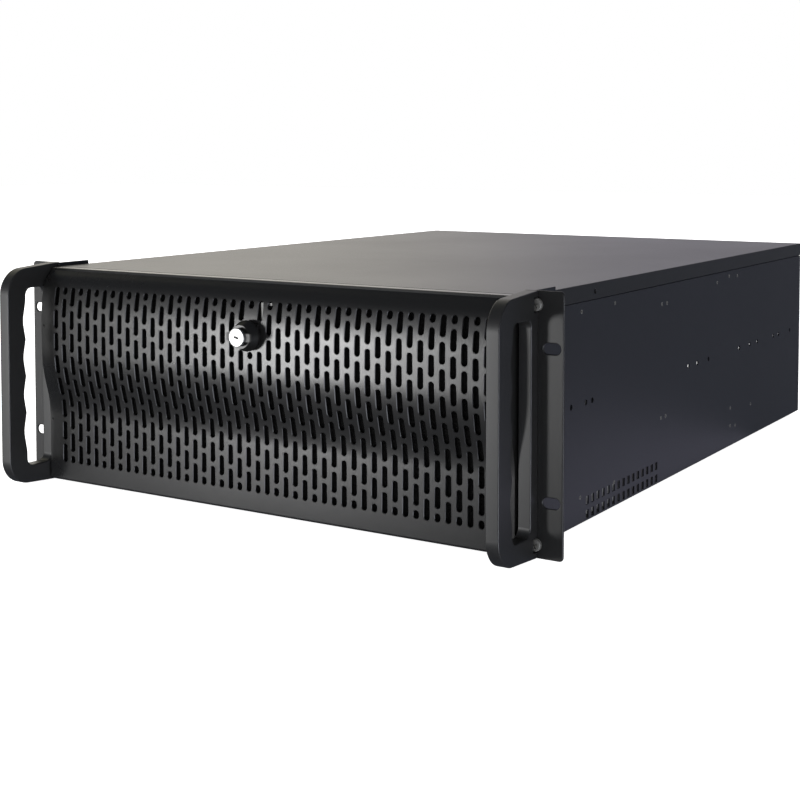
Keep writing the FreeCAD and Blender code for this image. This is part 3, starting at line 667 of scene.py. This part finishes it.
def makeHandles():
    low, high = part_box("right_handle")
    ring = addBlock("handleRight", low.x + handle["slim"], high.x, low.y, high.y, low.z, high.z)
    drop = (high.y - low.y) * math.tan(math.radians(handle["taper"]))
    pickVerts(ring, lambda co: co.y < low.y + mm)
    ops.transform.resize(value=(1, 1, 1 - 2 * drop / (high.z - low.z)),
                         center_override=(low.x, low.y, (low.z + high.z) / 2))
    pickEdges(ring, lambda a, b: max(a.y, b.y) < low.y + mm and abs(a.x - b.x) > mm)
    ops.mesh.bevel(offset=handle["corner"], segments=14)
    ops.object.mode_set(mode="OBJECT")
    barBack = low.y + handle["bar"]
    window = addBlock("window", low.x - mm, high.x + mm, barBack, -handle["root"],
                      low.z + handle["foot"], high.z - handle["head"])
    pickEdges(window, lambda a, b: abs(a.x - b.x) > mm)
    ops.mesh.bevel(offset=handle["innerCorner"], segments=8)
    ops.object.mode_set(mode="OBJECT")
    cutWith(ring, window)
    bevelled(ring, handle["edge"], 4, 40)
    half, depth = handle["gripLength"] / 2, handle["gripDepth"]
    radius = (half ** 2 + depth ** 2) / (2 * depth)
    for i in range(handle["grips"]):
        z = (low.z + high.z) / 2 + (i - (handle["grips"] - 1) / 2) * handle["gripPitch"]
        hollow = addRodX("grip", radius, low.x - mm, high.x + mm, barBack - depth + radius, z, 160)
        pickVerts(hollow, lambda co: co.y > barBack + 1 * mm)
        ops.transform.resize(value=(1, 0, 1), center_override=(0, barBack + 1 * mm, 0))
        ops.object.mode_set(mode="OBJECT")
        makeActive(hollow)
        ops.object.mode_set(mode="EDIT")
        ops.mesh.select_all(action="SELECT")
        ops.mesh.convex_hull()
        ops.object.mode_set(mode="OBJECT")
        cutWith(ring, hollow)
    for z in (low.z + handle["screwInset"], high.z - handle["screwInset"]):
        cutWith(ring, addRod("screwNotch", handle["notch"], handle["screwX"], -handle["notchDepth"], 2 * mm, z, 32))
    bevelled(ring, handle["gripEdge"], 2, 40)
    smoothed(ring, 40)
    left = mirroredTwin(ring, "handleLeft")
    smoothed(left, 40)
    finished(ring, "chassis", castBlack, "handle_coat", "right_handle")
    finished(left, "chassis", castBlack, "handle_coat", "left_handle")
    print("handles made", len(ring.data.polygons))


makeHandles()

# ---- rack ears, their screws and angles

ear = {"slotX": 232.55 * mm, "slotRise": 101.6 * mm, "slotLength": 12.6 * mm, "slotWidth": 7.2 * mm,
       "corner": 3 * mm, "crossHalf": 2.4 * mm, "crossWide": 0.45 * mm, "crossDepth": 1.2 * mm, "crossTurn": 25,
       "rim": 0.8 * mm, "angleBack": 37 * mm, "headRadius": 4.3 * mm, "headHeight": 2.8 * mm}


def roundSlot(x, z, length, width, y0, y1):
    punch = addRod("earPunch", width / 2, x, y0, y1, z, 32)
    for v in punch.data.vertices:
        v.co.x += math.copysign((length - width) / 2, v.co.x - x)
    return punch


def makeEars():
    low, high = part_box("right_ear")
    plate = addBlock("earRight", low.x, high.x, low.y, high.y, low.z, high.z)
    pickEdges(plate, lambda a, b: min(a.x, b.x) > high.x - mm and abs(a.y - b.y) > mm)
    ops.mesh.bevel(offset=ear["corner"], segments=6)
    ops.object.mode_set(mode="OBJECT")
    for side in (-1, 1):
        cutWith(plate, roundSlot(ear["slotX"], side * ear["slotRise"] / 2, ear["slotLength"],
                                 ear["slotWidth"], -mm, high.y + mm))
    bevelled(plate, ear["rim"], 3, 40, clamp=False)
    smoothed(plate, 40)
    left = mirroredTwin(plate, "earLeft")
    smoothed(left, 40)
    finished(plate, "chassis", satinBlack, "coat", "right_ear")
    finished(left, "chassis", satinBlack, "coat", "left_ear")
    for side in ("right", "left"):
        angle = sheetCopy(side + "_ear_angle", "angle" + side.title())
        for v in angle.data.vertices:
            v.co.y = min(v.co.y, ear["angleBack"])
        bevelled(angle, 0.4 * mm, 2)
        smoothed(angle)
        finished(angle, "chassis", wallBlackBlueReflection, "coat", side + "_ear_angle")
    print("ears made")


def panScrew(name, x, z):
    head = addRod(name, ear["headRadius"], x, -ear["headHeight"], 0, z, 32)
    pickEdges(head, lambda a, b: max(a.y, b.y) < -ear["headHeight"] + 0.1 * mm)
    ops.mesh.bevel(offset=1.1 * mm, segments=4)
    ops.object.mode_set(mode="OBJECT")
    for turn in (0, 90):
        arm = addBlock("crossArm", -ear["crossHalf"], ear["crossHalf"], -ear["headHeight"] - mm,
                       -ear["headHeight"] + ear["crossDepth"], -ear["crossWide"], ear["crossWide"])
        makeActive(arm)
        ops.object.mode_set(mode="EDIT")
        ops.mesh.select_all(action="SELECT")
        ops.transform.rotate(value=math.radians(turn + ear["crossTurn"]), orient_axis="Y", center_override=(0, 0, 0))
        ops.transform.translate(value=(x, 0, z))
        ops.object.mode_set(mode="OBJECT")
        cutWith(head, arm, "EXACT")
    smoothed(head, 40)
    return head


def makeEarScrews():
    low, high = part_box("right_handle")
    for label, z in (("Lower", low.z + handle["screwInset"]), ("Upper", high.z - handle["screwInset"])):
        for sideName, x in (("Right", handle["screwX"]), ("Left", -handle["screwX"])):
            finished(panScrew("earScrew" + sideName + label, x, z), "chassis", dullZinc, "steel")
    print("ear screws made")


makeEars()
makeEarScrews()

# ---- tray, cover and rear panel

case = {"railRise": 89 * mm, "railHole": 2.1 * mm,
        "railHoles": (66.7, 91.2, 101.9, 292.6, 313.5, 339.9, 419.8, 448.9, 470.4, 518.1, 535.2, 570.5),
        "fixings": ((82.8, 154.5), (140.8, 155.3), (232.7, 146), (243.5, 146), (359.7, 153), (390, 156.4), (411.7, 155.2),
                    (232.7, 55), (242.5, 55), (397.3, 37.6), (453.2, 32.7), (397.3, 21.5), (410.4, 19.8), (82.4, 22.3),
                    (141.7, 21.4)),
        "fixingHole": 1.5 * mm, "coverHole": (105.7, 167.1), "coverDrill": 1.6 * mm, "edge": 0.3 * mm,
        "eyelet": 1.48 * mm, "eyeletBore": 1.0 * mm, "eyeletLength": 1.3 * mm}


def sideHoles():
    low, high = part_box("chassis_tray")
    drills = []
    holes = [(case["railHole"], y * mm, case["railRise"]) for y in case["railHoles"]]
    holes += [(case["fixingHole"], y * mm, z * mm) for y, z in case["fixings"]]
    for radius, y, z in holes:
        drills.append(addRodX("drill", radius, high.x - 3 * mm, high.x + mm, y, z + floorUp, 16))
    return joinAll(drills, "drills")


def makeEyelets():
    # a bright rolled rim in each fixing hole of the right wall
    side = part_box("chassis_tray")[1].x
    ring = turned("eyelet", ((case["eyelet"], 0), (case["eyelet"], case["eyeletLength"])), 0, 0, 16)
    bore = case["eyeletBore"]
    cutWith(ring, turned("eyeletBore", ((bore, -mm), (bore, case["eyeletLength"] + mm)), 0, 0, 16))
    makeActive(ring)
    ops.object.mode_set(mode="EDIT")
    ops.mesh.select_all(action="SELECT")
    ops.transform.rotate(value=math.radians(90), orient_axis="Z", center_override=(0, 0, 0))
    ops.object.mode_set(mode="OBJECT")
    low = min(v.co.x for v in ring.data.vertices)
    rings = [copyOf(ring, "eyelet.%d" % i, (side - case["eyeletLength"] - low, y * mm, z * mm + floorUp))
             for i, (y, z) in enumerate(case["fixings"])]
    bpy.data.objects.remove(ring, do_unlink=True)
    eyelets = joinAll(rings, "sideEyelets")
    smoothed(eyelets)
    finished(eyelets, "chassis", dullZinc, "zinc")
    print("eyelets made")


def makeTray():
    tray = sheetCopy("chassis_tray", "caseTray")
    drills = sideHoles()
    cutWith(tray, drills, "EXACT")
    bevelled(tray, case["edge"], 1, 60)
    smoothed(tray)
    finished(tray, "chassis", wallBlackBlueReflection, "coat", "chassis_tray")
    print("tray made", len(tray.data.polygons))


def makeCover():
    cover = sheetCopy("top_cover", "caseCover")
    low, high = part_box("top_cover")
    y, z = case["coverHole"]
    drill = addRodX("coverDrill", case["coverDrill"], high.x - 3 * mm, high.x + mm, y * mm, z * mm + floorUp, 16)
    cutWith(cover, drill, "EXACT")
    bevelled(cover, 0.5 * mm, 2, 60)
    smoothed(cover)
    finished(cover, "cover", satinBlack, "coat", "top_cover")
    print("cover made")


makeTray()
makeEyelets()
makeCover()

# ---- panels, brackets and small parts behind the door and at the back

fittings = {"soft": 0.25 * mm, "knurlDepth": 0.45 * mm, "knurls": 30, "collarLength": 1.2 * mm,
            "collarRadius": 3.6 * mm, "slotWide": 1.2 * mm, "slotDeep": 1.4 * mm,
            "ledgeScrew": 3.1 * mm, "ledgeScrewHeight": 1.9 * mm, "ledgeScrewBack": 8 * mm,
            "panels": ("rear_panel", "front_panel", "bay_cover_1", "bay_cover_2", "bay_cover_3", "slim_bay_cover"),
            "brackets": ("drive_cage", "fan_bracket", "control_bracket", "cross_brace", "psu_rail",
                         "card_cover_1", "card_cover_2", "card_cover_3", "card_cover_4", "card_cover_5",
                         "card_cover_6", "card_cover_7"),
            "small": ("left_hinge_lug", "right_hinge_lug", "front_ports", "power_button", "reset_button",
                      "lamp_lenses", "board_standoffs", "filter_frame", "lock_cam", "cam_bolt")}


def bodyOf(node):
    for body, nodes in frame["record"]["behaviour"]["bodies"].items():
        if node in nodes:
            return body


def slotOf(node):
    return next(e["material_slot"] for e in frame["record"]["subparts"] if e["node"] == node)


def makeFittings():
    # each sheet gets a softened edge, since a folded and coated sheet is never knife sharp
    for node in fittings["panels"] + fittings["brackets"] + fittings["small"]:
        words = node.split("_")
        piece = sheetCopy(node, words[0] + "".join(w.title() for w in words[1:]))
        bevelled(piece, fittings["soft"], 1, 60)
        smoothed(piece)
        material = wallBlackBlueReflection if node in fittings["panels"] else slotFinish[slotOf(node)]
        finished(piece, bodyOf(node), material, slotOf(node), node)
    print("fittings made")


def makeThumbscrews():
    low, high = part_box("cover_thumbscrews")
    radius, z = (high.z - low.z) / 2, (low.z + high.z) / 2
    collar = low.y + fittings["collarLength"]
    grip = addRod("thumbGrip", radius, 0, collar, high.y, z, fittings["knurls"] * 2)
    pickEdges(grip, lambda a, b: abs(a.y - b.y) < 1e-6)
    ops.mesh.bevel(offset=0.4 * mm, segments=2)
    ops.object.mode_set(mode="OBJECT")
    for v in grip.data.vertices:
        turn = math.atan2(v.co.z - z, v.co.x) / (2 * math.pi) * fittings["knurls"] * 2
        reach = math.hypot(v.co.x, v.co.z - z)
        if round(turn) % 2:
            v.co.x *= 1 - fittings["knurlDepth"] / reach
            v.co.z = z + (v.co.z - z) * (1 - fittings["knurlDepth"] / reach)
    cutWith(grip, addBlock("thumbSlot", -radius - mm, radius + mm, high.y - fittings["slotDeep"], high.y + mm,
                           z - fittings["slotWide"] / 2, z + fittings["slotWide"] / 2), "EXACT")
    neck = addRod("thumbNeck", fittings["collarRadius"], 0, low.y, collar + 0.5 * mm, z, 32)
    screw = addTo(grip, neck)
    smoothed(screw, 30)
    places = (low.x + radius, 0, high.x - radius)
    screws = [copyOf(screw, "thumbscrew.%d" % i, (x, 0, 0)) for i, x in enumerate(places)]
    bpy.data.objects.remove(screw, do_unlink=True)
    finished(joinAll(screws, "coverThumbscrews"), "cover", plainSteel, "steel", "cover_thumbscrews")
    print("thumbscrews made")


def makeLedgeScrews():
    # one screw through the tab of each card cover
    screws = []
    for i in range(1, 8):
        low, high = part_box("card_cover_%d" % i)
        x, y, z = (low.x + high.x) / 2, high.y - fittings["ledgeScrewBack"], high.z
        deselectAll()
        height = fittings["ledgeScrewHeight"]
        ops.mesh.primitive_cylinder_add(vertices=24, radius=fittings["ledgeScrew"], depth=height,
                                        location=(x, y, z + height / 2))
        head = bpy.context.object
        ops.object.transform_apply(location=True, rotation=True, scale=True)
        pickEdges(head, lambda a, b: min(a.z, b.z) > z + mm)
        ops.mesh.bevel(offset=0.8 * mm, segments=3)
        ops.object.mode_set(mode="OBJECT")
        top = z + height
        for half, wide in ((2 * mm, 0.4 * mm), (0.4 * mm, 2 * mm)):
            cutWith(head, addBlock("crossArm", x - half, x + half, y - wide, y + wide, top - mm, top + mm), "EXACT")
        screws.append(head)
    whole = joinAll(screws, "ledgeScrews")
    smoothed(whole, 40)
    finished(whole, "chassis", plainSteel, "steel")
    print("ledge screws made")


makeFittings()
makeThumbscrews()
makeLedgeScrews()

# ---- floor, light and camera

studio = {"world": 1.0, "floorGlow": 0.95, "room": 4.0, "dim": (0.04, 0.048, 0.068),
          "paperPlace": (0.32, 0.26), "paperSize": (0.2, 0.42), "paperGlow": (0.33, 0.33, 0.43),
          "keyPlace": (-0.68, -1.06, -0.085), "keyTarget": (0.03, 0, 0.03), "keySize": (0.24, 0.24), "keyPower": 7.8,
          "lens": 64.187, "sensor": 36, "shift": -0.22, "eye": (639.3 * mm, -831.0 * mm, 269.5 * mm),
          "tiltDown": 3.039, "turnLeft": 0.5620,
          # where the coat finds light to mirror: direction, fade from and to, colour
          "glows": (((-0.795, 0.497, 0.348), 0.78, 0.93, (0.72, 0.69, 0.51)),     # warm wall, back left
                    ((-0.45, 0.88, 0.1), 0.72, 0.93, (0.63, 0.595, 0.65)),           # back wall
                    ((0.6, 0.78, -0.15), 0.7, 0.97, (0.07, 0.075, 0.09)),          # dim blue wall, back right
                    ((-0.55, -0.83, -0.12), 0.75, 0.98, (0.18, 0.18, 0.18)),       # front left
                    ((-0.8, -0.6, -0.05), 0.978, 0.998, (1.75, 1.75, 1.68)),          # low window, far left
                    ((0.8, -0.53, -0.28), 0.9, 0.99, (5, 5.2, 5.8)))}           # narrow card, front right


def emitter(name, location, target, size, power):
    light = bpy.data.lights.new(name, "AREA")
    light.shape = "RECTANGLE"
    light.size, light.size_y = size
    light.energy = power
    lamp = bpy.data.objects.new(name, light)
    bpy.context.scene.collection.objects.link(lamp)
    lamp.location = location
    lamp.rotation_euler = (Vector(target) - Vector(location)).to_track_quat("-Z", "Y").to_euler()
    return lamp


def makeFloor():
    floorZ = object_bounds()[0].z - 0.3 * mm
    deselectAll()
    ops.mesh.primitive_plane_add(size=14, location=(0, 0, floorZ))
    ground = bpy.context.object
    ground.name = "studioFloor"
    mat = bpy.data.materials.new("paleFloor")
    mat.use_nodes = True
    shader = mat.node_tree.nodes["Principled BSDF"]
    shader.inputs["Base Color"].default_value = (0.85, 0.85, 0.85, 1)
    shader.inputs["Roughness"].default_value = 0.9
    shader.inputs["Emission Color"].default_value = (1, 1, 1, 1)
    shader.inputs["Emission Strength"].default_value = studio["floorGlow"]
    ground.data.materials.append(mat)
    ground.visible_glossy = False
    ground.visible_shadow = False
    ground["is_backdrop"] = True


def glowMaterial(name, colour):
    mat = bpy.data.materials.new(name)
    mat.use_nodes = True
    shader = mat.node_tree.nodes["Principled BSDF"]
    shader.inputs["Base Color"].default_value = (0, 0, 0, 1)
    shader.inputs["Specular IOR Level"].default_value = 0
    shader.inputs["Emission Color"].default_value = (*colour, 1)
    shader.inputs["Emission Strength"].default_value = 1
    return mat


def mirroredOnly(piece):
    piece.visible_camera = False
    piece.visible_diffuse = False
    piece.visible_shadow = False
    piece.visible_transmission = False
    piece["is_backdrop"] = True


def makeRoom():
    # the studio's walls, there only for the coat to mirror
    deselectAll()
    ops.mesh.primitive_uv_sphere_add(segments=48, ring_count=24, radius=studio["room"])
    room = bpy.context.object
    room.name = "studioRoom"
    mat = bpy.data.materials.new("roomGlow")
    mat.use_nodes = True
    nodes, links = mat.node_tree.nodes, mat.node_tree.links
    nodes.clear()
    place = nodes.new("ShaderNodeTexCoord")
    glow = nodes.new("ShaderNodeEmission")
    end = nodes.new("ShaderNodeOutputMaterial")
    links.new(glow.outputs["Emission"], end.inputs["Surface"])
    total = nodes.new("ShaderNodeVectorMath")
    total.inputs[0].default_value = studio["dim"]
    total.inputs[1].default_value = (0, 0, 0)
    for direction, low, high, colour in studio["glows"]:
        facing = nodes.new("ShaderNodeVectorMath")
        facing.operation = "DOT_PRODUCT"
        facing.inputs[1].default_value = Vector(direction).normalized() / studio["room"]
        links.new(place.outputs["Object"], facing.inputs[0])
        fade = nodes.new("ShaderNodeMapRange")
        fade.interpolation_type = "SMOOTHSTEP"
        fade.inputs["From Min"].default_value = low
        fade.inputs["From Max"].default_value = high
        links.new(facing.outputs["Value"], fade.inputs["Value"])
        tinted = nodes.new("ShaderNodeVectorMath")
        tinted.operation = "SCALE"
        tinted.inputs[0].default_value = colour
        links.new(fade.outputs["Result"], tinted.inputs["Scale"])
        both = nodes.new("ShaderNodeVectorMath")
        links.new(total.outputs["Vector"], both.inputs[0])
        links.new(tinted.outputs["Vector"], both.inputs[1])
        total = both
    links.new(total.outputs["Vector"], glow.inputs["Color"])
    room.data.materials.append(mat)
    mirroredOnly(room)
    # pale paper on the floor beside the case
    deselectAll()
    ops.mesh.primitive_plane_add(size=1, location=(*studio["paperPlace"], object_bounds()[0].z - 0.2 * mm))
    paper = bpy.context.object
    paper.name = "studioPaper"
    paper.scale = (*studio["paperSize"], 1)
    paper.data.materials.append(glowMaterial("paperGlow", studio["paperGlow"]))
    mirroredOnly(paper)


def makeStudio():
    world = bpy.data.worlds.new("studioWorld")
    bpy.context.scene.world = world
    world.use_nodes = True
    back = world.node_tree.nodes["Background"]
    back.inputs["Color"].default_value = (1, 1, 1, 1)
    back.inputs["Strength"].default_value = studio["world"]
    makeFloor()
    makeRoom()
    emitter("keyLight", studio["keyPlace"], studio["keyTarget"], studio["keySize"], studio["keyPower"])
    print("studio made")


def makeCamera():
    data = bpy.data.cameras.new("camera")
    data.lens = studio["lens"]
    data.sensor_width = studio["sensor"]
    data.shift_y = studio["shift"]
    cam = bpy.data.objects.new("camera", data)
    bpy.context.scene.collection.objects.link(cam)
    x, y, height = studio["eye"]
    cam.location = (x, y, height + floorUp)
    cam.rotation_euler = (math.radians(90 - studio["tiltDown"]), 0, studio["turnLeft"])
    bpy.context.scene.camera = cam
    bpy.context.scene.view_settings.view_transform = "Standard"


makeStudio()
makeCamera()
